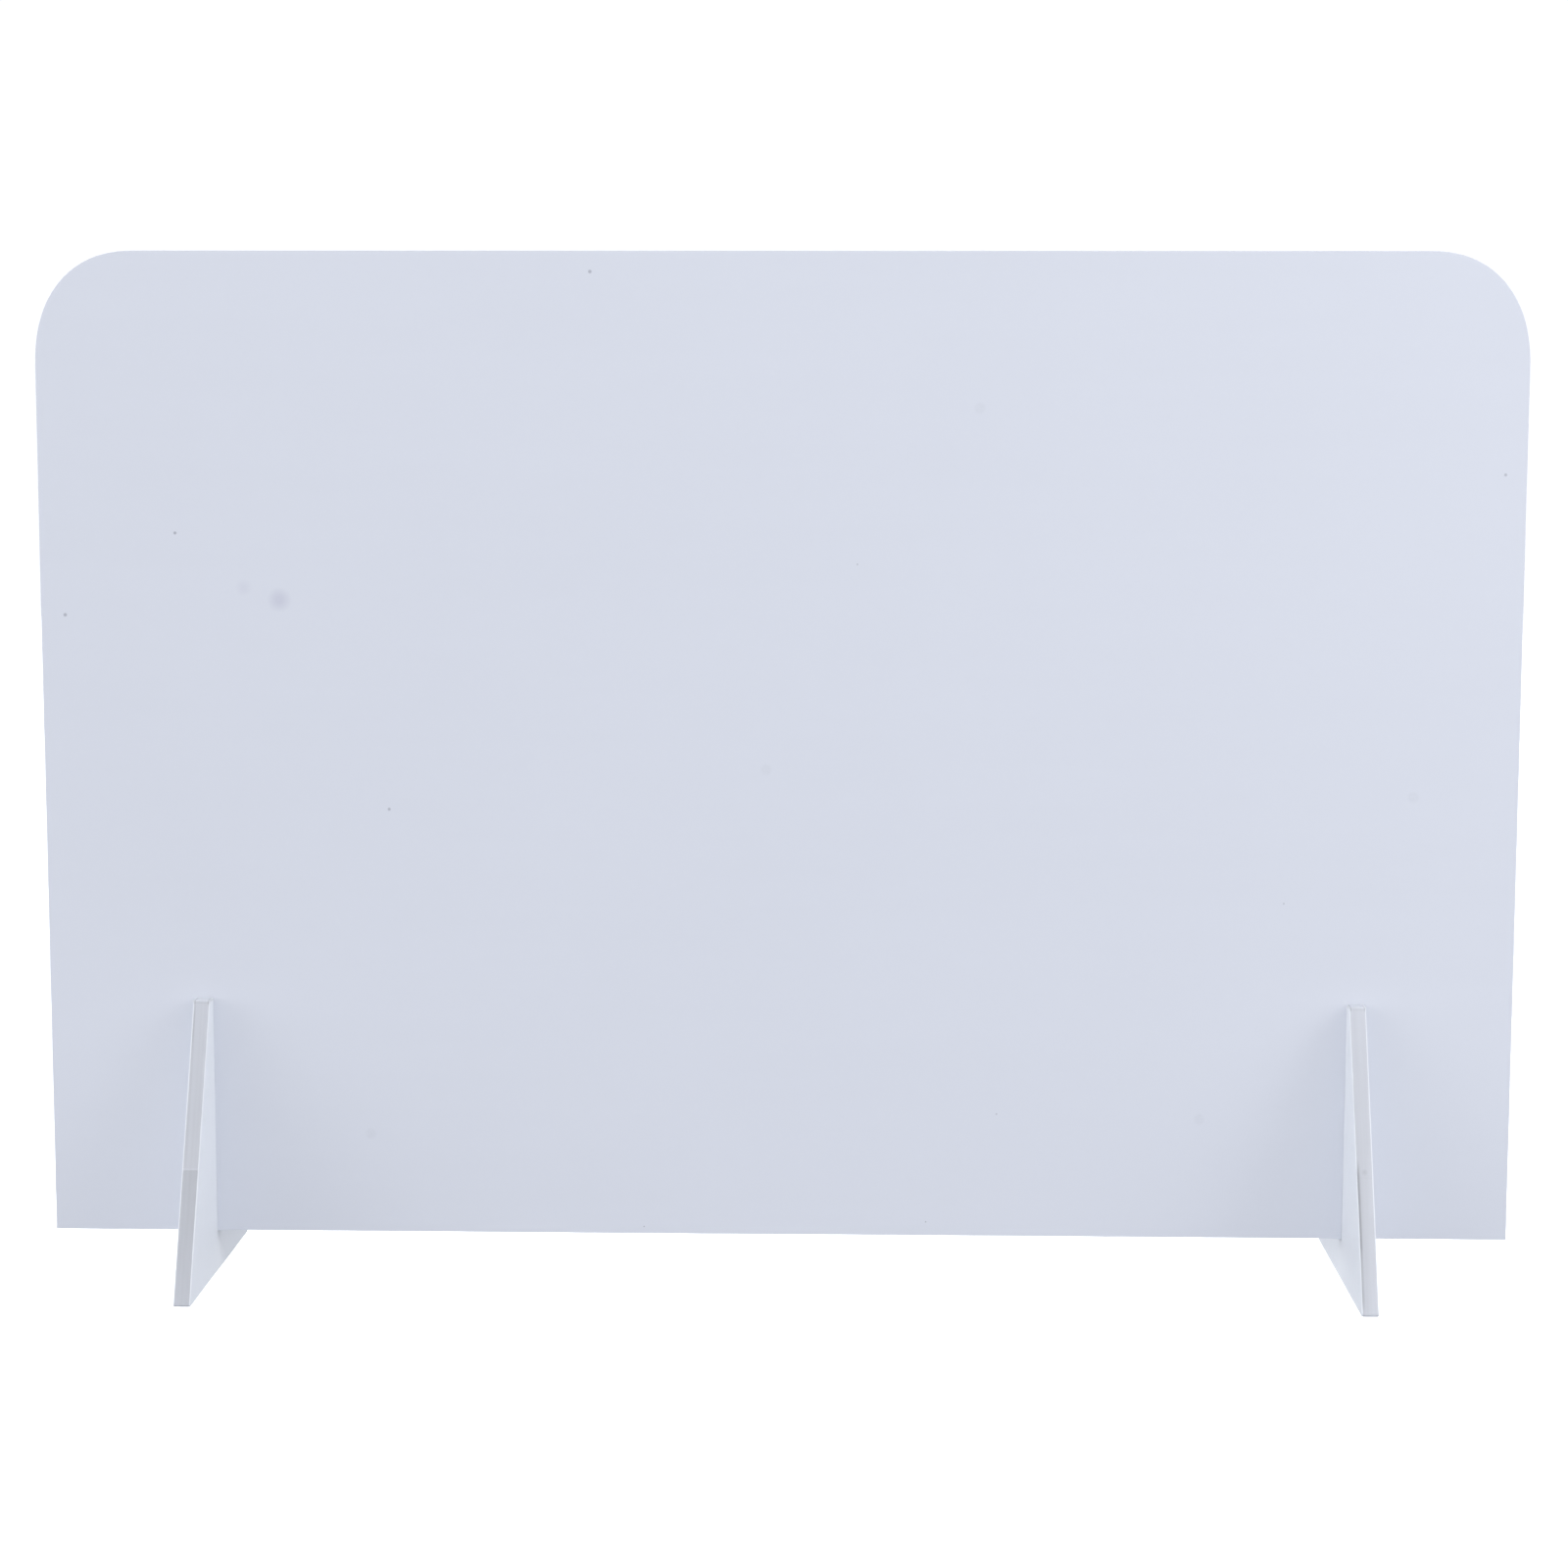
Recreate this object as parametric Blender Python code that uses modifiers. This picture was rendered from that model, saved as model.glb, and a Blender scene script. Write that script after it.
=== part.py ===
"""Counter-top sneeze guard: one clear acrylic panel that stands in two slotted feet.

The three sheets still wear the white masking film that they were cut with, one on each face.
Units are metres and +Z is up. The origin is on the counter, under the middle of the panel.
-Y is the guests' side, and left and right are as seen from there.
"""

import math

import bpy

# Sheet stock. A film lies a hair off its sheet, because touching solids keep a gap.
SHEET_THICKNESS = 0.006
FILM_THICKNESS = 0.0001
GAP = 0.0003
FILM_SETBACK = 0.0003
EDGE_CHAMFER = 0.0003
WELD_DISTANCE = 0.00001
STACK_THICKNESS = SHEET_THICKNESS + 2 * (GAP + FILM_THICKNESS)
SLOT_WIDTH = STACK_THICKNESS + 2 * GAP

# Panel
PANEL_WIDTH = 0.600
PANEL_HEIGHT = 0.402
PANEL_LIFT = 0.017
TOP_CORNER_WIDTH = 0.041
TOP_CORNER_DROP = 0.047

# Feet
FOOT_SPACING = 0.472
FOOT_HEIGHT = 0.115
FOOT_BASE = 0.120
FOOT_TOP = 0.020
TOE_ROUNDING = 0.0015
CROWN_ROUNDING = 0.0010
SEAT_HEIGHT = 0.040

# A round corner is a superellipse quarter: 2 is an ellipse, and more is squarer.
CORNER_EXPONENT = 2.28
TOP_CORNER_STEPS = 24
SMALL_CORNER_STEPS = 4

ACRYLIC = {"colour": (0.86, 0.89, 0.92), "roughness": 0.06, "transmission": 0.9, "ior": 1.49}
FILM = {"colour": (0.80, 0.83, 0.89), "roughness": 0.55, "transmission": 0.0, "ior": 1.45}

FACING_FRONT = (math.pi / 2, 0.0, 0.0)
FACING_RIGHT = (math.pi / 2, 0.0, math.pi / 2)


def clear_scene():
    for leftover in list(bpy.data.objects):
        bpy.data.objects.remove(leftover, do_unlink=True)


def new_collection(name):
    collection = bpy.data.collections.new(name)
    bpy.context.scene.collection.children.link(collection)
    return collection


def new_material(name, finish):
    material = bpy.data.materials.new(name)
    material.use_nodes = True
    shader = material.node_tree.nodes["Principled BSDF"]
    shader.inputs["Base Color"].default_value = (*finish["colour"], 1.0)
    shader.inputs["Roughness"].default_value = finish["roughness"]
    shader.inputs["Metallic"].default_value = 0.0
    shader.inputs["Transmission Weight"].default_value = finish["transmission"]
    shader.inputs["IOR"].default_value = finish["ior"]
    return material


def corner(x, y, reach_in=0.0, reach_out=0.0, steps=SMALL_CORNER_STEPS):
    """A corner of an outline. It is rounded from reach_in before it to reach_out after it."""
    return {"x": x, "y": y, "reach_in": reach_in, "reach_out": reach_out, "steps": steps}


def direction(start, end):
    """Unit vector from one corner to another."""
    run, rise = end["x"] - start["x"], end["y"] - start["y"]
    length = math.hypot(run, rise)
    return run / length, rise / length


def inset(corners, distance):
    """The outline moved inwards by distance. Its corners run anticlockwise."""
    moved = []
    for i, this in enumerate(corners):
        in_x, in_y = direction(corners[i - 1], this)
        out_x, out_y = direction(this, corners[(i + 1) % len(corners)])
        # The two edges' inward normals are (-in_y, in_x) and (-out_y, out_x).
        share = distance / (1.0 + in_x * out_x + in_y * out_y)
        moved.append(
            corner(
                this["x"] - (in_y + out_y) * share,
                this["y"] + (in_x + out_x) * share,
                max(this["reach_in"] - distance, 0.0),
                max(this["reach_out"] - distance, 0.0),
                this["steps"],
            )
        )
    return moved


def outline_points(corners):
    """The outline as points, with its rounded corners as superellipse quarters."""
    points = []
    power = 2.0 / CORNER_EXPONENT
    for i, this in enumerate(corners):
        if this["reach_in"] <= 0.0:
            points.append((this["x"], this["y"]))
            continue
        back_x, back_y = direction(this, corners[i - 1])
        ahead_x, ahead_y = direction(this, corners[(i + 1) % len(corners)])
        for step in range(this["steps"] + 1):
            angle = 0.5 * math.pi * step / this["steps"]
            back = this["reach_in"] * (1.0 - math.sin(angle) ** power)
            ahead = this["reach_out"] * (1.0 - max(math.cos(angle), 0.0) ** power)
            points.append(
                (
                    this["x"] + back * back_x + ahead * ahead_x,
                    this["y"] + back * back_y + ahead * ahead_y,
                )
            )
    return points


def add_plate(collection, name, corners, thickness, location, rotation, finish, parent=None):
    """A flat sheet: a filled outline, extruded by half its thickness each way."""
    curve = bpy.data.curves.new(name, "CURVE")
    curve.dimensions = "2D"
    curve.fill_mode = "BOTH"
    curve.extrude = thickness / 2
    points = outline_points(corners)
    spline = curve.splines.new("POLY")
    spline.points.add(len(points) - 1)
    for spline_point, (x, y) in zip(spline.points, points):
        spline_point.co = (x, y, 0.0, 1.0)
    spline.use_cyclic_u = True
    plate = bpy.data.objects.new(name, curve)
    collection.objects.link(plate)
    plate.location = location
    plate.rotation_euler = rotation
    plate.parent = parent
    curve.materials.append(new_material(name, finish))
    weld = plate.modifiers.new("weld_caps", "WELD")
    weld.merge_threshold = WELD_DISTANCE
    return plate


def chamfer_edges(plate):
    """Breaks the plate's sawn edges. It comes after the Weld that closes the caps."""
    bevel = plate.modifiers.new("edge_chamfer", "BEVEL")
    bevel.width = EDGE_CHAMFER
    bevel.segments = 1
    bevel.limit_method = "ANGLE"
    bevel.angle_limit = math.radians(40)


def panel_corners():
    """The panel seen from the front: square bottom corners, two slots and round top corners."""
    side = PANEL_WIDTH / 2
    top = PANEL_LIFT + PANEL_HEIGHT
    slot_top = SEAT_HEIGHT + GAP
    corners = [corner(-side, PANEL_LIFT)]
    for slot_middle in (-FOOT_SPACING / 2, FOOT_SPACING / 2):
        corners.append(corner(slot_middle - SLOT_WIDTH / 2, PANEL_LIFT))
        corners.append(corner(slot_middle - SLOT_WIDTH / 2, slot_top))
        corners.append(corner(slot_middle + SLOT_WIDTH / 2, slot_top))
        corners.append(corner(slot_middle + SLOT_WIDTH / 2, PANEL_LIFT))
    corners.append(corner(side, PANEL_LIFT))
    corners.append(corner(side, top, TOP_CORNER_DROP, TOP_CORNER_WIDTH, TOP_CORNER_STEPS))
    corners.append(corner(-side, top, TOP_CORNER_WIDTH, TOP_CORNER_DROP, TOP_CORNER_STEPS))
    return corners


def foot_corners():
    """A foot seen from the right: a cut-off triangle with a slot down from its crown."""
    toe = FOOT_BASE / 2
    crown = FOOT_TOP / 2
    wall = SLOT_WIDTH / 2
    return [
        corner(-toe, 0.0, TOE_ROUNDING, TOE_ROUNDING),
        corner(toe, 0.0, TOE_ROUNDING, TOE_ROUNDING),
        corner(crown, FOOT_HEIGHT, CROWN_ROUNDING, CROWN_ROUNDING),
        corner(wall, FOOT_HEIGHT, CROWN_ROUNDING, CROWN_ROUNDING),
        corner(wall, SEAT_HEIGHT),
        corner(-wall, SEAT_HEIGHT),
        corner(-wall, FOOT_HEIGHT, CROWN_ROUNDING, CROWN_ROUNDING),
        corner(-crown, FOOT_HEIGHT, CROWN_ROUNDING, CROWN_ROUNDING),
    ]


def build_panel(collection):
    film_offset = SHEET_THICKNESS / 2 + GAP + FILM_THICKNESS / 2
    sheet_outline = panel_corners()
    film_outline = inset(sheet_outline, FILM_SETBACK)
    centre = (0.0, 0.0, 0.0)
    front = (0.0, -film_offset, 0.0)
    rear = (0.0, film_offset, 0.0)
    sheet = add_plate(
        collection, "panel_sheet", sheet_outline, SHEET_THICKNESS, centre, FACING_FRONT, ACRYLIC
    )
    chamfer_edges(sheet)
    for name, place in (("panel_front_film", front), ("panel_rear_film", rear)):
        add_plate(collection, name, film_outline, FILM_THICKNESS, place, FACING_FRONT, FILM)


def build_foot(collection, side_name, middle_x):
    """One foot. It slides straight down off the panel, along Z through its empty."""
    film_offset = SHEET_THICKNESS / 2 + GAP + FILM_THICKNESS / 2
    outward = math.copysign(film_offset, middle_x)
    sheet_outline = foot_corners()
    film_outline = inset(sheet_outline, FILM_SETBACK)
    axis = bpy.data.objects.new(f"{side_name}_foot_axis", None)
    collection.objects.link(axis)
    axis.location = (middle_x, 0.0, 0.0)
    sheet = add_plate(
        collection,
        f"{side_name}_foot_sheet",
        sheet_outline,
        SHEET_THICKNESS,
        (0.0, 0.0, 0.0),
        FACING_RIGHT,
        ACRYLIC,
        axis,
    )
    chamfer_edges(sheet)
    for face, offset in (("outer", outward), ("inner", -outward)):
        add_plate(
            collection,
            f"{side_name}_foot_{face}_film",
            film_outline,
            FILM_THICKNESS,
            (offset, 0.0, 0.0),
            FACING_RIGHT,
            FILM,
            axis,
        )


def main():
    clear_scene()
    collection = new_collection("sneeze_guard")
    build_panel(collection)
    build_foot(collection, "left", -FOOT_SPACING / 2)
    build_foot(collection, "right", FOOT_SPACING / 2)


main()
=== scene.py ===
"""The looks of the counter-top sneeze guard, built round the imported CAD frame.

Lengths are in metres and angles in radians, unless a name says otherwise. A gain multiplies a colour.
"""

import math
import random

import bmesh
import bpy
from mathutils import Matrix, Vector
from mathutils.geometry import delaunay_2d_cdt


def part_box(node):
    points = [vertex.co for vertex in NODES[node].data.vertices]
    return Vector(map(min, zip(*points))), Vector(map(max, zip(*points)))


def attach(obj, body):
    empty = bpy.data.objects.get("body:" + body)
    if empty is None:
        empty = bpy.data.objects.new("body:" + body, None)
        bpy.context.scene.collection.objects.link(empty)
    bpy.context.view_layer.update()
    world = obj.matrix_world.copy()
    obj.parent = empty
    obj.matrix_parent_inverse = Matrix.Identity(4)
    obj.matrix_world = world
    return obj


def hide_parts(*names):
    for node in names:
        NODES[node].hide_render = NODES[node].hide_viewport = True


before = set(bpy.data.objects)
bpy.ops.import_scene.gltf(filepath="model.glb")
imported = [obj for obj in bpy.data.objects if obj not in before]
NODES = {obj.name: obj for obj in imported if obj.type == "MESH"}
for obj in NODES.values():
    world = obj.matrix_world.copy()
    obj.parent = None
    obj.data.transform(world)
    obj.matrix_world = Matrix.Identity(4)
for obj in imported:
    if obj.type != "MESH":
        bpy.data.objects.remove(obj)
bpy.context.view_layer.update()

# Each sheet: its body, the axis across its thickness, and its films.
SHEETS = {
    "panel_sheet": ("panel", "Y", ("panel_front_film", "panel_rear_film")),
    "left_foot_sheet": ("left_foot", "X", ("left_foot_inner_film", "left_foot_outer_film")),
    "right_foot_sheet": ("right_foot", "X", ("right_foot_inner_film", "right_foot_outer_film")),
}
FEET = ("left_foot_sheet", "right_foot_sheet")
AXIS = {"X": 0, "Y": 1, "Z": 2}

# Camera: looks along +Y, then turned
CAMERA_PLACE = (0.0337, -1.2810, 0.3517)
CAMERA_YAW = -0.0244
CAMERA_PITCH = 0.1146
CAMERA_ROLL = -0.0016
CAMERA_LENS_MM = 72.56
SENSOR_MM = 36.0
CAMERA_NEAREST = 0.01

# Film, as a shape
FILM_BEDDING = 0.00004
FILM_REACH = 0.00022
FILM_SLOT_REACH = 0.00058
FILM_EDGE_ROUND = 0.00012
FILM_EDGE_STEPS = 3
FILM_RIM_STEP = 0.004
FILM_RIM_WANDER = 0.00008
RIM_WANDER_KEPT = 0.8
RIM_WANDER_ADDED = 0.6
SLOT_RIM = 0.0040
SLOT_RIM_NEAR = 0.0002
SLOT_TOP = 0.0408
SLOT_FLOOR = 0.0395
CAP_GRID = 0.012
CAP_FLAT = 1e-5
CAP_DIGITS = 7
CAP_MERGE = 1e-7
SHARPEST_CORNER = 0.3

# Film, as a material. A noise is its scale, detail and roughness; a bump its strength and distance.
# The feet's films are given a lighter, less blue tone than the panel's film: painted light, for the side
# light they catch.
FILM_COLOUR = {
    "panel": (0.731, 0.753, 0.812),
    "left_foot": (0.748, 0.768, 0.797),
    "right_foot": (0.748, 0.768, 0.797),
}
CLOUD_NOISE = (9.0, 3.0)
CLOUD_GAINS = (0.985, 1.012)
STREAK_NOISE = (6.0, 4.0)
STREAK_STRETCH = (1.0, 1.0, 14.0)
STREAK_RANGE = (0.3, 0.8, 0.0, 0.35)
STREAK_GAIN = 1.02
FILM_GLOSS_NOISE = (180.0, 2.0)
FILM_ROUGHNESS = (0.2, 0.8, 0.50, 0.62)
GRAIN_NOISE = (2600.0, 2.0)
GRAIN_BUMP = (0.12, 0.00004)
WAVE_NOISE = (22.0, 1.0)
WAVE_BUMP = (0.06, 0.0006)
FILM_IOR = 1.45
# Painted shade on the films' rims along a foot's top, against the highlight they catch.
FILM_CROWN_FADE = (0.0010, 0.0005)
FILM_CROWN_PAINTED_SHADE = 0.78

# Random dirt on every film: spacing, radius, softness, and the share of places that have a mark
SPECKS = (0.029, 0.0003, 0.0001, 0.02)
SPECK_COLOUR = (0.30, 0.31, 0.36)
SPECK_STRENGTH = 0.55
SMUDGES = (0.085, 0.0021, 0.0006, 0.12)
SMUDGE_NOISE = (900.0, 2.0)
SMUDGE_STRENGTH = 0.5
SMUDGE_GAIN = 0.86
SMUDGE_POLISH = 0.08

# Marks on the panel's front: place as a share of its width and height, radius, softness, colour, strength
SMUDGE_COLOUR = (0.60, 0.61, 0.70)
PANEL_MARKS = (
    (0.162, 0.652, 0.0032, 0.0020, SMUDGE_COLOUR, 0.75),
    (0.138, 0.664, 0.0022, 0.0015, SMUDGE_COLOUR, 0.30),
    (0.092, 0.719, 0.0006, 0.0002, SPECK_COLOUR, 0.70),
    (0.016, 0.636, 0.0007, 0.0002, SPECK_COLOUR, 0.60),
    (0.374, 0.980, 0.0007, 0.0002, SPECK_COLOUR, 0.55),
    (0.235, 0.439, 0.0006, 0.0002, SPECK_COLOUR, 0.55),
    (0.986, 0.780, 0.0006, 0.0002, SPECK_COLOUR, 0.50),
)

# The film's adhesive side
BED_COLOUR = (0.90, 0.92, 0.95)
BED_NOISE = (60.0,)
BED_GAIN = 0.97
BED_ROUGHNESS = 0.9

# Acrylic
ACRYLIC_COLOUR = (0.892, 0.910, 0.965)
ACRYLIC_CLEARNESS = 0.40
ACRYLIC_IOR = 1.49
ACRYLIC_ROUGHNESS = (0.3, 0.75, 0.10, 0.26)
# The right foot's edge is painted lighter than the other sheets' edges, for the light it catches.
EDGE_PAINTED_LIGHT = {"panel_sheet": 1.0, "left_foot_sheet": 1.0, "right_foot_sheet": 1.035}
HAZE_NOISE = (45.0, 3.0)
HAZE_GAIN = 0.96
SAW_STRETCH = 0.04
SAW_MARK_NOISE = (1500.0, 3.0, 0.65)
SAW_MARK_BUMP = (0.25, 0.00003)
SAW_BAND_NOISE = (160.0, 2.0)
SAW_BAND_BUMP = (0.12, 0.00012)
SCRAPE_NOISE = (900.0, 2.0)
SCRAPE_STRETCH = (1.0, 0.04, 0.02)
SCRAPE_RANGE = (0.35, 0.7)
SCRAPE_GAIN = 0.965

# Painted on a foot's front edge: the slot's floor that shows through it, as a seam with a painted line
# along it and painted shade on the acrylic below it; and painted light along the toe
SEAM_HEIGHT = 0.0506
SEAM_SOFTNESS = 0.00015
SEAM_LINE = 0.0007
SEAM_LINE_PAINTED_LIGHT = {"left_foot_sheet": 1.05, "right_foot_sheet": 0.985}
UNDER_SEAM_PAINTED_SHADE = {"left_foot_sheet": 0.86, "right_foot_sheet": 1.0}
UNDER_SEAM_FADE = 0.5
TOE_HEIGHT = 0.0016
TOE_PAINTED_LIGHT = 1.05

# Painted shade lines along the films' edges: from and to across the edge, from and to in height, and the
# gain
FILM_EDGE_SHADE_SOFTNESS = 0.0002
FILM_EDGE_SHADE_END_SOFTNESS = 0.003
FILM_EDGE_SHADE_LINES = {
    "left_foot_sheet": (
        ((0.0000, 0.0008), (0.098, 0.113), 0.84),
        ((0.0003, 0.0011), (0.052, 0.098), 0.94),
    ),
    "right_foot_sheet": (
        ((-0.0001, 0.0009), (0.022, 0.055), 0.68),
        ((-0.0001, 0.0009), (0.003, 0.022), 0.82),
    ),
}

# Painted shade and light across an edge, full below one height and a share of it above another: from, to
# and the gain
EDGE_RAMP_HEIGHT = (0.050, 0.058)
EDGE_RAMP_ABOVE = 0.3
PAINTED_EDGE_LIGHT_RAMPS = {
    "left_foot_sheet": (),
    "right_foot_sheet": ((0.0038, 0.0, 0.935), (0.0022, 0.006, 1.04)),
}

# Dull spots in an edge: place across and in height, radius, softness and gain
EDGE_SPOTS = {
    "left_foot_sheet": (),
    "right_foot_sheet": ((0.0030, 0.0530, 0.0008, 0.00064, 0.88),),
}

# The narrow top of a foot, measured down from it: its flat, painted lighter, and its rounded brow and its
# broken edges, painted darker
CROWN_FADE = (0.0002, 0.0001)
CROWN_PAINTED_LIGHT = {"left_foot_sheet": 1.09, "right_foot_sheet": 1.0}
CROWN_SOFTNESS = 0.0001
BROW = (0.0013, 0.0003)
BROW_PAINTED_SHADE = 0.93
BROKEN_EDGE = 0.0004
BROKEN_EDGE_FADE = (0.0016, 0.0012)
BROKEN_EDGE_PAINTED_SHADE = 0.76

# Studio: a white surround whose light is stronger towards each soft box, and one lamp at the upper right
WORLD_LEVEL = 0.33
BACKDROP_LEVEL = 1.05
LIGHT_TINT = (0.985, 1.0, 1.035)
SOFT_BOXES = (
    ("X", 1.0, 2.5),
    ("X", -1.0, 4.1),
    ("Y", -1.0, 0.95),
    ("Y", 1.0, 0.5),
    ("Z", 1.0, 1.3),
)
SOFT_BOX_FOCUS = 4.0
LAMP_PLACE = (1.2, -0.35, 0.9)
LAMP_TARGET = (0.0, 0.0, 0.1)
LAMP_SIZE = 0.8
LAMP_POWER_W = 5.2

# Floor
FLOOR_SEEN = (0.96, 0.96, 0.96)
FLOOR_BOUNCE = (0.29, 0.30, 0.33)
FLOOR_LIFT = 0.35
FLOOR_HEIGHT = -0.102
FLOOR_HALF_WIDTH = 6.0
FLOOR_GRID = 8
FLOOR_NOISE = (3.0, 4.0)
FLOOR_GAIN = 0.985
FLOOR_ROUGHNESS = 0.7

# Sockets of a Mix node in its colour mode
MIX_FACTOR, MIX_FIRST, MIX_SECOND, MIX_RESULT = "0", "6", "7", 2


def add_camera():
    forward = Vector(
        (
            math.sin(CAMERA_YAW) * math.cos(CAMERA_PITCH),
            math.cos(CAMERA_YAW) * math.cos(CAMERA_PITCH),
            -math.sin(CAMERA_PITCH),
        )
    )
    level = Vector((math.cos(CAMERA_YAW), -math.sin(CAMERA_YAW), 0.0))
    down = forward.cross(level)
    right = level * math.cos(CAMERA_ROLL) + down * math.sin(CAMERA_ROLL)
    down = down * math.cos(CAMERA_ROLL) - level * math.sin(CAMERA_ROLL)
    turn = Matrix((right, -down, -forward)).transposed().to_4x4()
    data = bpy.data.cameras.new("camera")
    data.lens = CAMERA_LENS_MM
    data.sensor_width = SENSOR_MM
    data.clip_start = CAMERA_NEAREST
    camera = bpy.data.objects.new("camera", data)
    bpy.context.scene.collection.objects.link(camera)
    camera.matrix_world = Matrix.Translation(CAMERA_PLACE) @ turn
    bpy.context.scene.camera = camera


class Nodes:
    """Short names for building one node tree. A value is a number, a colour or another node's socket."""

    def __init__(self, tree):
        self.tree = tree

    def add(self, kind, settings=None, **inputs):
        node = self.tree.nodes.new(kind)
        for key, value in (settings or {}).items():
            setattr(node, key, value)
        for key, value in inputs.items():
            self.plug(node, key, value)
        return node

    def plug(self, node, key, value):
        """Sets or links the input with that name, or with that number where the key is one."""
        socket = node.inputs[int(key)] if key.isdigit() else node.inputs[key]
        if isinstance(value, bpy.types.NodeSocket):
            self.tree.links.new(value, socket)
        else:
            socket.default_value = value

    def object_coords(self, scale=(1.0, 1.0, 1.0)):
        coords = self.add("ShaderNodeTexCoord").outputs["Object"]
        return self.add("ShaderNodeMapping", Vector=coords, Scale=scale).outputs["Vector"]

    def split(self, vector):
        return self.add("ShaderNodeSeparateXYZ", Vector=vector).outputs

    def noise(self, vector, scale, detail=2.0, roughness=0.5):
        node = self.add(
            "ShaderNodeTexNoise", Vector=vector, Scale=scale, Detail=detail, Roughness=roughness
        )
        return node.outputs["Fac"]

    def remap(self, value, low, high, to_low=0.0, to_high=1.0):
        node = self.add("ShaderNodeMapRange")
        for key, number in zip(
            ("Value", "From Min", "From Max", "To Min", "To Max"),
            (value, low, high, to_low, to_high),
        ):
            self.plug(node, key, number)
        return node.outputs["Result"]

    def math(self, operation, first, second=0.0):
        node = self.add("ShaderNodeMath", {"operation": operation})
        self.plug(node, "0", first)
        self.plug(node, "1", second)
        return node.outputs[0]

    def times(self, first, second):
        return self.math("MULTIPLY", first, second)

    def mix_colour(self, factor, first, second):
        node = self.add("ShaderNodeMix", {"data_type": "RGBA"})
        for key, value in ((MIX_FACTOR, factor), (MIX_FIRST, first), (MIX_SECOND, second)):
            self.plug(node, key, value)
        return node.outputs[MIX_RESULT]

    def gained(self, factor, colour, gain):
        """The colour, multiplied by the gain where the factor is 1."""
        node = self.add("ShaderNodeVectorMath", {"operation": "SCALE"})
        self.plug(node, "0", colour)
        self.plug(node, "Scale", self.remap(factor, 0.0, 1.0, 1.0, gain))
        return node.outputs[0]

    def window(self, value, low, high, soft):
        """1 between low and high, 0 outside them."""
        rise = self.remap(value, low - soft, low + soft)
        return self.times(rise, self.remap(value, high + soft, high - soft))

    def blot(self, distance, radius, soft):
        """1 inside the radius, 0 outside it."""
        return self.remap(distance, radius + soft, radius - soft)

    def distance(self, coords, place):
        node = self.add("ShaderNodeVectorMath", {"operation": "DISTANCE"})
        self.plug(node, "0", coords)
        self.plug(node, "1", place)
        return node.outputs["Value"]

    def front_distance(self, parts, x, z):
        """How far each point lies from a place, seen from the front."""
        across = self.math("POWER", self.math("SUBTRACT", parts["X"], x), 2.0)
        up = self.math("POWER", self.math("SUBTRACT", parts["Z"], z), 2.0)
        return self.math("SQRT", self.math("ADD", across, up))

    def face_coords(self, coords):
        """Two coordinates that run along an upright sheet, whether it faces X or Y."""
        parts = self.split(coords)
        along = self.math("ADD", parts["X"], parts["Y"])
        return self.add("ShaderNodeCombineXYZ", X=along, Y=parts["Z"]).outputs["Vector"]

    def dots(self, flat, spacing, radius, soft, share):
        """Round marks of one radius, about one to each spacing, of which only a share is kept."""
        cells = self.add(
            "ShaderNodeTexVoronoi", {"voronoi_dimensions": "2D"}, Vector=flat, Scale=1.0 / spacing
        ).outputs
        spot = self.remap(cells["Distance"], (radius + soft) / spacing, (radius - soft) / spacing)
        pick = self.add("ShaderNodeSeparateColor", Color=cells["Color"]).outputs[0]
        return self.times(spot, self.math("GREATER_THAN", pick, 1.0 - share))

    def bump(self, height, strength, distance, normal=None):
        node = self.add("ShaderNodeBump", Height=height, Strength=strength, Distance=distance)
        if normal is not None:
            self.plug(node, "Normal", normal)
        return node.outputs["Normal"]


def new_material(name):
    material = bpy.data.materials.new(name)
    material.use_nodes = True
    shader = material.node_tree.nodes["Principled BSDF"]
    return material, Nodes(material.node_tree), shader


def rgba(colour, gain=1.0):
    return tuple(channel * gain for channel in colour) + (1.0,)


def panel_marks(nodes, coords, colour):
    """The larger smudges and specks on the panel's front."""
    low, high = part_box("panel_front_film")
    for across, up, radius, soft, mark_colour, strength in PANEL_MARKS:
        place = (low.x + across * (high.x - low.x), low.y, low.z + up * (high.z - low.z))
        mark = nodes.times(nodes.blot(nodes.distance(coords, place), radius, soft), strength)
        colour = nodes.mix_colour(mark, colour, rgba(mark_colour))
    return colour


def paint_film_crown_shade(nodes, coords, colour, sheet):
    """Paints shade on the rims of the films on the narrow top of a foot, where their rounded edges would
    catch a highlight.
    """
    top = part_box(sheet)[1].z
    start, end = FILM_CROWN_FADE
    crown = nodes.remap(nodes.split(coords)["Z"], top - start, top - end)
    return nodes.gained(crown, colour, FILM_CROWN_PAINTED_SHADE)


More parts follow.
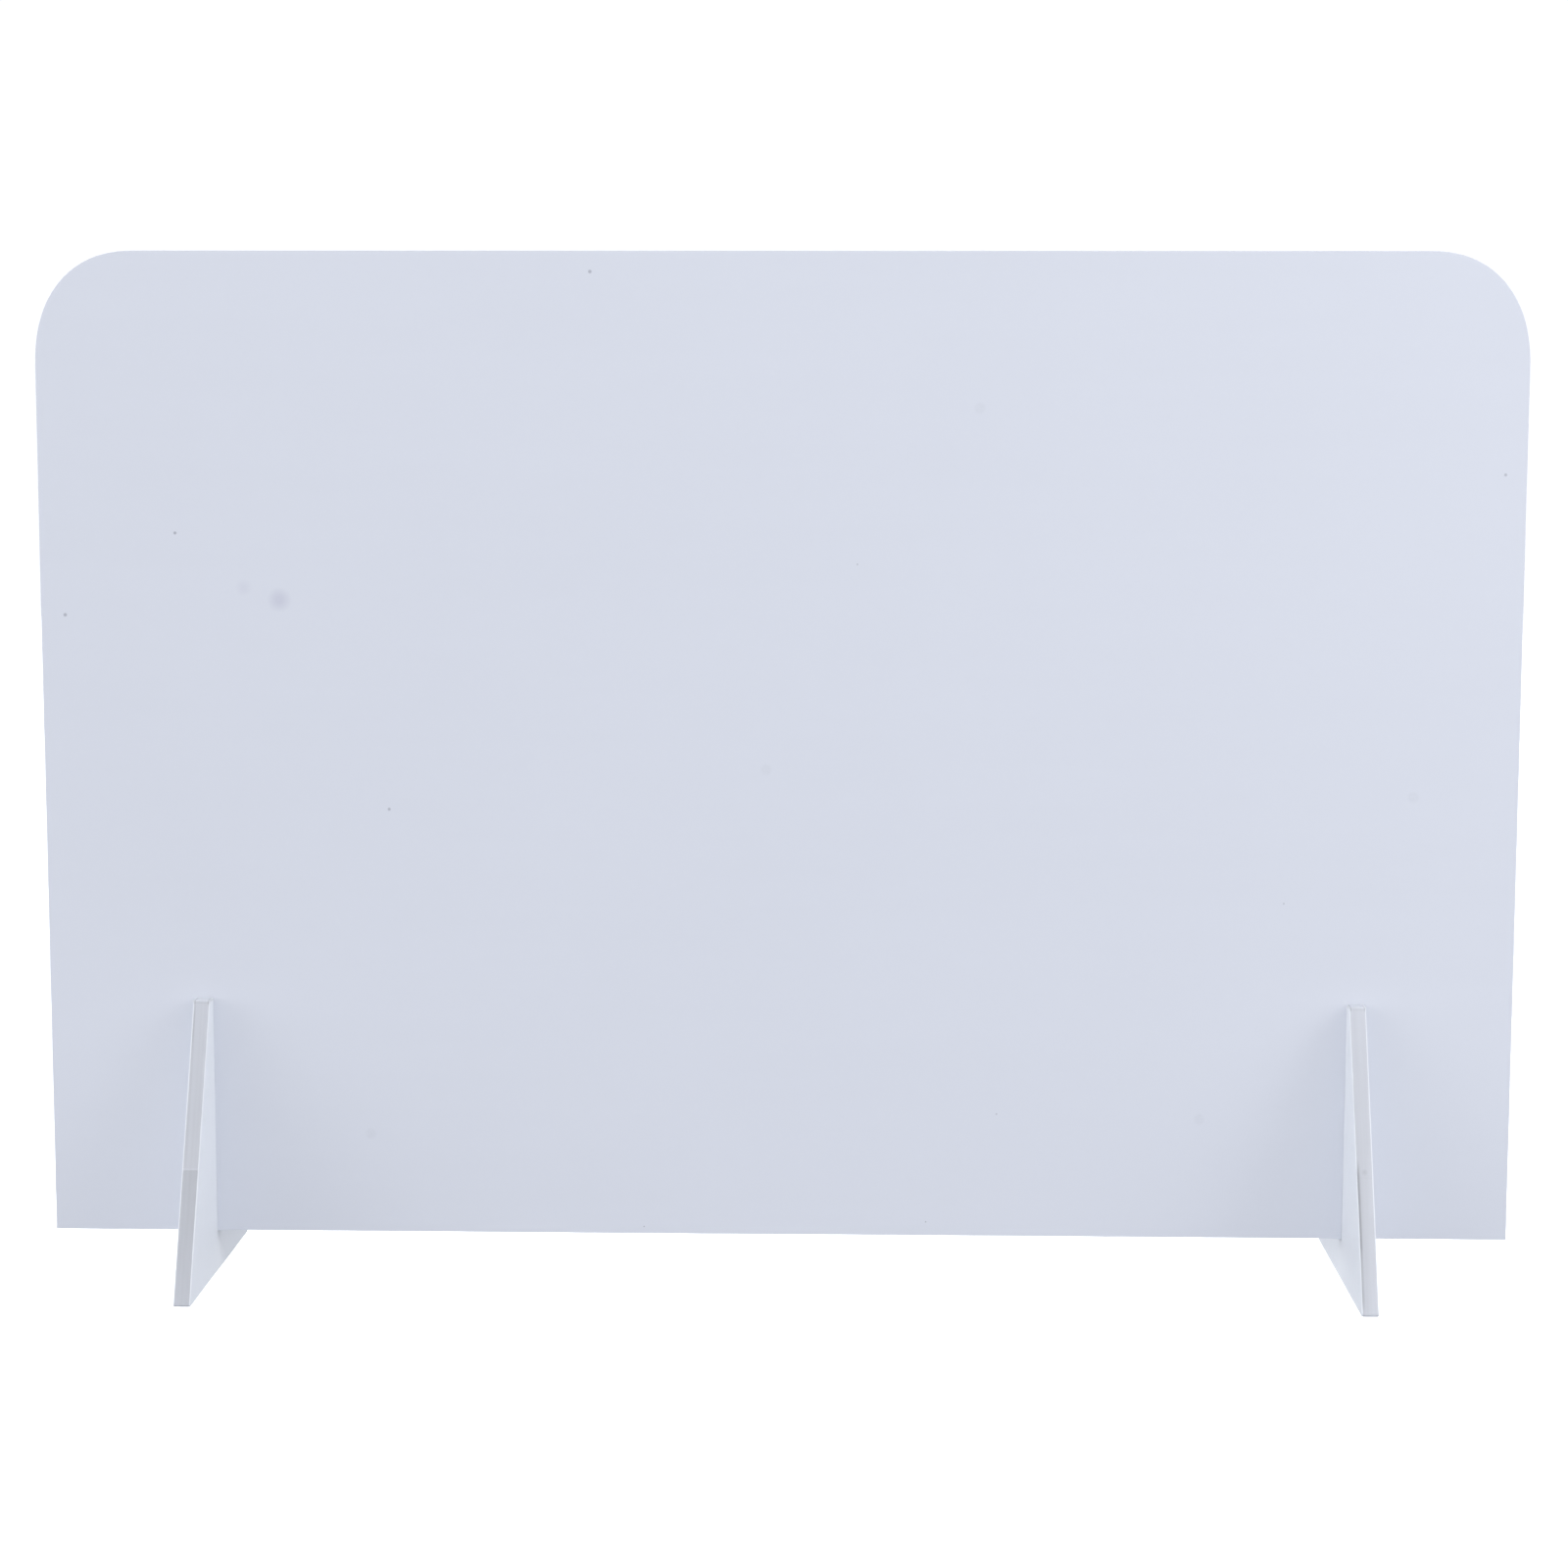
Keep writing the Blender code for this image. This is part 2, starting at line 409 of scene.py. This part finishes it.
def film_material(body):
    """Cool white masking film: matt, faintly clouded, with a few specks and greasy smudges."""
    material, nodes, shader = new_material("film_face_" + body)
    coords = nodes.object_coords()
    base = FILM_COLOUR[body]
    clouds = nodes.noise(coords, *CLOUD_NOISE)
    colour = nodes.mix_colour(clouds, *(rgba(base, gain) for gain in CLOUD_GAINS))
    streaks = nodes.noise(nodes.object_coords(STREAK_STRETCH), *STREAK_NOISE)
    colour = nodes.mix_colour(nodes.remap(streaks, *STREAK_RANGE), colour, rgba(base, STREAK_GAIN))
    flat = nodes.face_coords(coords)
    smudge = nodes.times(nodes.dots(flat, *SMUDGES), nodes.noise(coords, *SMUDGE_NOISE))
    colour = nodes.mix_colour(nodes.times(smudge, SMUDGE_STRENGTH), colour, rgba(base, SMUDGE_GAIN))
    speck = nodes.times(nodes.dots(flat, *SPECKS), SPECK_STRENGTH)
    colour = nodes.mix_colour(speck, colour, rgba(SPECK_COLOUR))
    if body == "panel":
        colour = panel_marks(nodes, coords, colour)
    else:
        colour = paint_film_crown_shade(nodes, coords, colour, body + "_sheet")
    nodes.plug(shader, "Base Color", colour)
    rough = nodes.remap(nodes.noise(coords, *FILM_GLOSS_NOISE), *FILM_ROUGHNESS)
    rough = nodes.math("SUBTRACT", rough, nodes.times(smudge, SMUDGE_POLISH))
    nodes.plug(shader, "Roughness", rough)
    grain = nodes.bump(nodes.noise(coords, *GRAIN_NOISE), *GRAIN_BUMP)
    nodes.plug(shader, "Normal", nodes.bump(nodes.noise(coords, *WAVE_NOISE), *WAVE_BUMP, grain))
    shader.inputs["IOR"].default_value = FILM_IOR
    return material


def bed_material():
    """The film's adhesive side, which the light in the acrylic comes through."""
    material, nodes, shader = new_material("film_adhesive")
    patches = nodes.noise(nodes.object_coords(), *BED_NOISE)
    colour = nodes.mix_colour(patches, rgba(BED_COLOUR, BED_GAIN), rgba(BED_COLOUR))
    nodes.plug(shader, "Base Color", colour)
    shader.inputs["Roughness"].default_value = BED_ROUGHNESS
    return material


def paint_slot_floor_light(nodes, parts, colour, sheet):
    """Paints shade on a foot's edge below the seam where the slot's floor shows through, less towards the
    bottom, a painted line along the seam, and painted light along the toe.
    """
    height = parts["Z"]
    under = nodes.remap(height, SEAM_HEIGHT + SEAM_SOFTNESS, SEAM_HEIGHT - SEAM_SOFTNESS)
    fade = nodes.remap(height, 0.0, SEAM_HEIGHT, UNDER_SEAM_FADE, 1.0)
    colour = nodes.gained(nodes.times(under, fade), colour, UNDER_SEAM_PAINTED_SHADE[sheet])
    line = nodes.window(height, SEAM_HEIGHT, SEAM_HEIGHT + SEAM_LINE, SEAM_SOFTNESS)
    colour = nodes.gained(line, colour, SEAM_LINE_PAINTED_LIGHT[sheet])
    # Painted light along the toe's rounding, against the floor's contact shadow.
    toe = nodes.remap(height, TOE_HEIGHT, TOE_HEIGHT / 2)
    return nodes.gained(toe, colour, TOE_PAINTED_LIGHT)


def paint_edge_shade_and_spots(nodes, parts, colour, sheet):
    """Paints shade on a foot's edge along the films' edges, painted shade and light across the edge, and
    adds dull spots.
    """
    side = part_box(sheet)[0].x
    for (start, end), heights, gain in FILM_EDGE_SHADE_LINES[sheet]:
        film_edge_shade = nodes.window(parts["X"], side + start, side + end, FILM_EDGE_SHADE_SOFTNESS)
        span = nodes.window(parts["Z"], *heights, FILM_EDGE_SHADE_END_SOFTNESS)
        colour = nodes.gained(nodes.times(film_edge_shade, span), colour, gain)
    for start, end, gain in PAINTED_EDGE_LIGHT_RAMPS[sheet]:
        low = nodes.remap(parts["Z"], *EDGE_RAMP_HEIGHT, 1.0, EDGE_RAMP_ABOVE)
        ramp = nodes.remap(parts["X"], side + start, side + end)
        colour = nodes.gained(nodes.times(ramp, low), colour, gain)
    for across, height, radius, soft, gain in EDGE_SPOTS[sheet]:
        spot = nodes.blot(nodes.front_distance(parts, side + across, height), radius, soft)
        colour = nodes.gained(spot, colour, gain)
    return colour


def paint_crown_light_and_shade(nodes, parts, colour, sheet):
    """Paints light on the narrow top of a foot and shade on its rounded brow and its broken edges."""
    low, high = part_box(sheet)
    flat = nodes.remap(parts["Z"], high.z - CROWN_FADE[0], high.z - CROWN_FADE[1])
    colour = nodes.gained(flat, colour, CROWN_PAINTED_LIGHT[sheet])
    brow = nodes.window(parts["Z"], high.z - BROW[0], high.z - BROW[1], CROWN_SOFTNESS)
    colour = nodes.gained(brow, colour, BROW_PAINTED_SHADE)
    inside = nodes.window(parts["X"], low.x + BROKEN_EDGE, high.x - BROKEN_EDGE, CROWN_SOFTNESS)
    above = nodes.remap(parts["Z"], high.z - BROKEN_EDGE_FADE[0], high.z - BROKEN_EDGE_FADE[1])
    rim = nodes.times(nodes.math("SUBTRACT", 1.0, inside), above)
    return nodes.gained(rim, colour, BROKEN_EDGE_PAINTED_SHADE)


def acrylic_material(sheet, thickness_axis):
    """Clear acrylic whose sawn edges are milky with cutter marks that run across the thickness."""
    material, nodes, shader = new_material("clear_acrylic_" + sheet)
    stretch = [1.0, 1.0, 1.0]
    stretch[AXIS[thickness_axis]] = SAW_STRETCH
    marks = nodes.noise(nodes.object_coords(stretch), *SAW_MARK_NOISE)
    bands = nodes.noise(nodes.object_coords(stretch), *SAW_BAND_NOISE)
    haze = nodes.noise(nodes.object_coords(), *HAZE_NOISE)
    gain = EDGE_PAINTED_LIGHT[sheet]
    colour = nodes.mix_colour(haze, rgba(ACRYLIC_COLOUR, HAZE_GAIN * gain), rgba(ACRYLIC_COLOUR, gain))
    scrapes = nodes.noise(nodes.object_coords(SCRAPE_STRETCH), *SCRAPE_NOISE)
    colour = nodes.gained(nodes.remap(scrapes, *SCRAPE_RANGE), colour, SCRAPE_GAIN)
    # On the feet the edge colour also carries painted light and shade: the seam, the films' edges, the
    # crown and the toe.
    if sheet in FEET:
        parts = nodes.split(nodes.object_coords())
        for shade in (paint_slot_floor_light, paint_edge_shade_and_spots, paint_crown_light_and_shade):
            colour = shade(nodes, parts, colour, sheet)
    nodes.plug(shader, "Base Color", colour)
    nodes.plug(shader, "Roughness", nodes.remap(marks, *ACRYLIC_ROUGHNESS))
    fine = nodes.bump(marks, *SAW_MARK_BUMP)
    nodes.plug(shader, "Normal", nodes.bump(bands, *SAW_BAND_BUMP, fine))
    shader.inputs["IOR"].default_value = ACRYLIC_IOR
    shader.inputs["Transmission Weight"].default_value = ACRYLIC_CLEARNESS
    return material


def outline_of(node, axis, plane):
    """The border of a CAD node's flat cap that lies on the plane, as one loop of points."""
    mesh = NODES[node].data
    border = {}
    for polygon in mesh.polygons:
        corners = [mesh.vertices[i].co for i in polygon.vertices]
        if any(abs(corner[axis] - plane) > CAP_FLAT for corner in corners):
            continue
        keys = [tuple(round(c, CAP_DIGITS) for c in corner) for corner in corners]
        for start, end in zip(keys, keys[1:] + keys[:1]):
            if (end, start) in border:
                del border[(end, start)]
            else:
                border[(start, end)] = True
    following = dict(border.keys())
    first = min(following)
    loop = [first]
    while following[loop[-1]] != first:
        loop.append(following[loop[-1]])
    return [Vector(point) for point in loop]


def resampled(loop, step):
    """The loop with its long sides cut into stretches of about step."""
    points = []
    for start, end in zip(loop, loop[1:] + loop[:1]):
        parts = max(1, round((end - start).length / step))
        points.extend(start.lerp(end, i / parts) for i in range(parts))
    return points


def inward(points, face_normal):
    """Each point's unit direction into the outline, which runs anticlockwise about face_normal."""
    directions = []
    for i, point in enumerate(points):
        before = (point - points[i - 1]).normalized()
        after = (points[(i + 1) % len(points)] - point).normalized()
        normal = face_normal.cross(before) + face_normal.cross(after)
        directions.append(normal / max(SHARPEST_CORNER, 1.0 + before.dot(after)))
    return directions


def in_slot(point, axis):
    """True on the rims that face the other sheet inside a cross-lap slot."""
    if axis == AXIS["Y"]:
        middles = [(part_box(foot)[0].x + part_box(foot)[1].x) / 2 for foot in FEET]
        beside = any(abs(abs(point.x - middle) - SLOT_RIM) < SLOT_RIM_NEAR for middle in middles)
        return beside and point.z < SLOT_TOP
    return abs(abs(point.y) - SLOT_RIM) < SLOT_RIM_NEAR and point.z > SLOT_FLOOR


def rim_slips(node, points, axis):
    """How far each point of a film's rim moves inwards: trimmed by hand, and close in the slots."""
    dice = random.Random(node)
    wander = 0.0
    slips = []
    for point in points:
        wander = RIM_WANDER_KEPT * wander + dice.uniform(-1.0, 1.0) * FILM_RIM_WANDER * RIM_WANDER_ADDED
        wander = min(max(wander, -FILM_RIM_WANDER), FILM_RIM_WANDER)
        slips.append(-FILM_SLOT_REACH if in_slot(point, axis) else wander - FILM_REACH)
    return slips


def fill_cap(shape, ring, axis, side, material_index):
    """Fills one flat cap inside its ring of vertices with well-shaped triangles."""
    across, along = [i for i in range(3) if i != axis]
    flat = [Vector((v.co[across], v.co[along])) for v in ring]
    low = [min(p[i] for p in flat) for i in (0, 1)]
    high = [max(p[i] for p in flat) for i in (0, 1)]
    inner = []
    for row in range(1, int((high[1] - low[1]) / CAP_GRID)):
        for column in range(1, int((high[0] - low[0]) / CAP_GRID)):
            inner.append(Vector((low[0] + column * CAP_GRID, low[1] + row * CAP_GRID)))
    border = [(i, (i + 1) % len(flat)) for i in range(len(flat))]
    points, _, faces, sources, _, _ = delaunay_2d_cdt(flat + inner, border, [], 1, CAP_MERGE)
    height = ring[0].co[axis]
    vertices = []
    for point, source in zip(points, sources):
        known = [i for i in source if i < len(ring)]
        if known:
            vertices.append(ring[known[0]])
            continue
        place = Vector((0.0, 0.0, 0.0))
        place[across], place[along], place[axis] = point[0], point[1], height
        vertices.append(shape.verts.new(place))
    for corners in faces:
        face = shape.faces.new([vertices[i] for i in corners])
        face.material_index = material_index
        face.normal_update()
        if face.normal[axis] * side < 0:
            face.normal_flip()
    bmesh.ops.delete(shape, geom=[v for v in vertices if not v.link_faces], context="VERTS")


def film_shape(node, sheet, axis):
    """A film bedded on its sheet, with a hand-trimmed rim and a softly rounded outer edge."""
    low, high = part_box(node)
    sheet_low, sheet_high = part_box(sheet)
    outwards = 1.0 if low[axis] > sheet_low[axis] + (sheet_high - sheet_low)[axis] / 2 else -1.0
    top = high[axis] if outwards > 0 else low[axis]
    bed = (sheet_high[axis] if outwards > 0 else sheet_low[axis]) - outwards * FILM_BEDDING
    face_normal = Vector((0.0, 0.0, 0.0))
    face_normal[axis] = outwards
    points = resampled(outline_of(node, axis, top), FILM_RIM_STEP)
    directions = inward(points, face_normal)
    slips = rim_slips(node, points, axis)
    profile = [(bed, 0.0)]
    for step in range(FILM_EDGE_STEPS + 1):
        angle = 0.5 * math.pi * step / FILM_EDGE_STEPS
        rise = top - outwards * FILM_EDGE_ROUND * (1.0 - math.sin(angle))
        profile.append((rise, FILM_EDGE_ROUND * (1.0 - math.cos(angle))))
    shape = bmesh.new()
    rings = []
    for height, inset in profile:
        ring = []
        for point, direction, slip in zip(points, directions, slips):
            place = point + direction * (inset + slip)
            place[axis] = height
            ring.append(shape.verts.new(place))
        rings.append(ring)
    fill_cap(shape, rings[0], axis, -outwards, 1)
    fill_cap(shape, rings[-1], axis, outwards, 0)
    for lower, upper in zip(rings, rings[1:]):
        for i in range(len(points)):
            j = (i + 1) % len(points)
            shape.faces.new((lower[i], lower[j], upper[j], upper[i]))
    bmesh.ops.recalc_face_normals(shape, faces=shape.faces)
    return shape


def add_mesh(name, shape, materials):
    mesh = bpy.data.meshes.new(name)
    shape.to_mesh(mesh)
    shape.free()
    for material in materials:
        mesh.materials.append(material)
    piece = bpy.data.objects.new(name, mesh)
    bpy.context.scene.collection.objects.link(piece)
    return piece


def add_pieces():
    bed = bed_material()
    for sheet, (body, axis_name, films) in SHEETS.items():
        face = film_material(body)
        NODES[sheet].material_slots[0].material = acrylic_material(sheet, axis_name)
        for node in films:
            skin = add_mesh(node + "_skin", film_shape(node, sheet, AXIS[axis_name]), (face, bed))
            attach(skin, body)
            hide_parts(node)


def add_floor():
    """A white lit table, low enough that a foot slid to its joint's limit still stands above it."""
    material, nodes, shader = new_material("pale_floor")
    seen = nodes.add("ShaderNodeLightPath").outputs["Is Camera Ray"]
    cloud = nodes.noise(nodes.object_coords(), *FLOOR_NOISE)
    paint = nodes.mix_colour(cloud, rgba(FLOOR_SEEN, FLOOR_GAIN), rgba(FLOOR_SEEN))
    nodes.plug(shader, "Base Color", nodes.mix_colour(seen, rgba(FLOOR_BOUNCE), paint))
    shader.inputs["Emission Color"].default_value = rgba((1.0, 1.0, 1.0))
    nodes.plug(shader, "Emission Strength", nodes.times(seen, FLOOR_LIFT))
    shader.inputs["Roughness"].default_value = FLOOR_ROUGHNESS
    shape = bmesh.new()
    bmesh.ops.create_grid(shape, x_segments=FLOOR_GRID, y_segments=FLOOR_GRID, size=FLOOR_HALF_WIDTH)
    floor = add_mesh("floor", shape, (material,))
    floor.location.z = FLOOR_HEIGHT


def add_lamp():
    data = bpy.data.lights.new("right", "AREA")
    data.size = LAMP_SIZE
    data.energy = LAMP_POWER_W
    data.color = LIGHT_TINT
    lamp = bpy.data.objects.new("right", data)
    bpy.context.scene.collection.objects.link(lamp)
    lamp.location = LAMP_PLACE
    look = Vector(LAMP_TARGET) - Vector(LAMP_PLACE)
    lamp.rotation_euler = look.to_track_quat("-Z", "Y").to_euler()


def surround(nodes):
    """The level of the light from each direction: even, and stronger towards each large soft box."""
    parts = nodes.split(nodes.add("ShaderNodeTexCoord").outputs["Generated"])
    level = WORLD_LEVEL
    for axis, sign, strength in SOFT_BOXES:
        facing = nodes.math("MAXIMUM", nodes.times(parts[axis], sign), 0.0)
        glow = nodes.times(nodes.math("POWER", facing, SOFT_BOX_FOCUS), strength)
        level = nodes.math("ADD", glow, level)
    return level


def add_surround():
    world = bpy.data.worlds.new("studio")
    world.use_nodes = True
    nodes = Nodes(world.node_tree)
    background = world.node_tree.nodes["Background"]
    seen = nodes.add("ShaderNodeLightPath").outputs["Is Camera Ray"]
    nodes.plug(background, "Strength", nodes.remap(seen, 0.0, 1.0, surround(nodes), BACKDROP_LEVEL))
    background.inputs["Color"].default_value = rgba(LIGHT_TINT)
    bpy.context.scene.world = world
    bpy.context.scene.view_settings.view_transform = "Standard"
    bpy.context.scene.view_settings.look = "None"


add_camera()
add_pieces()
add_floor()
add_surround()
add_lamp()
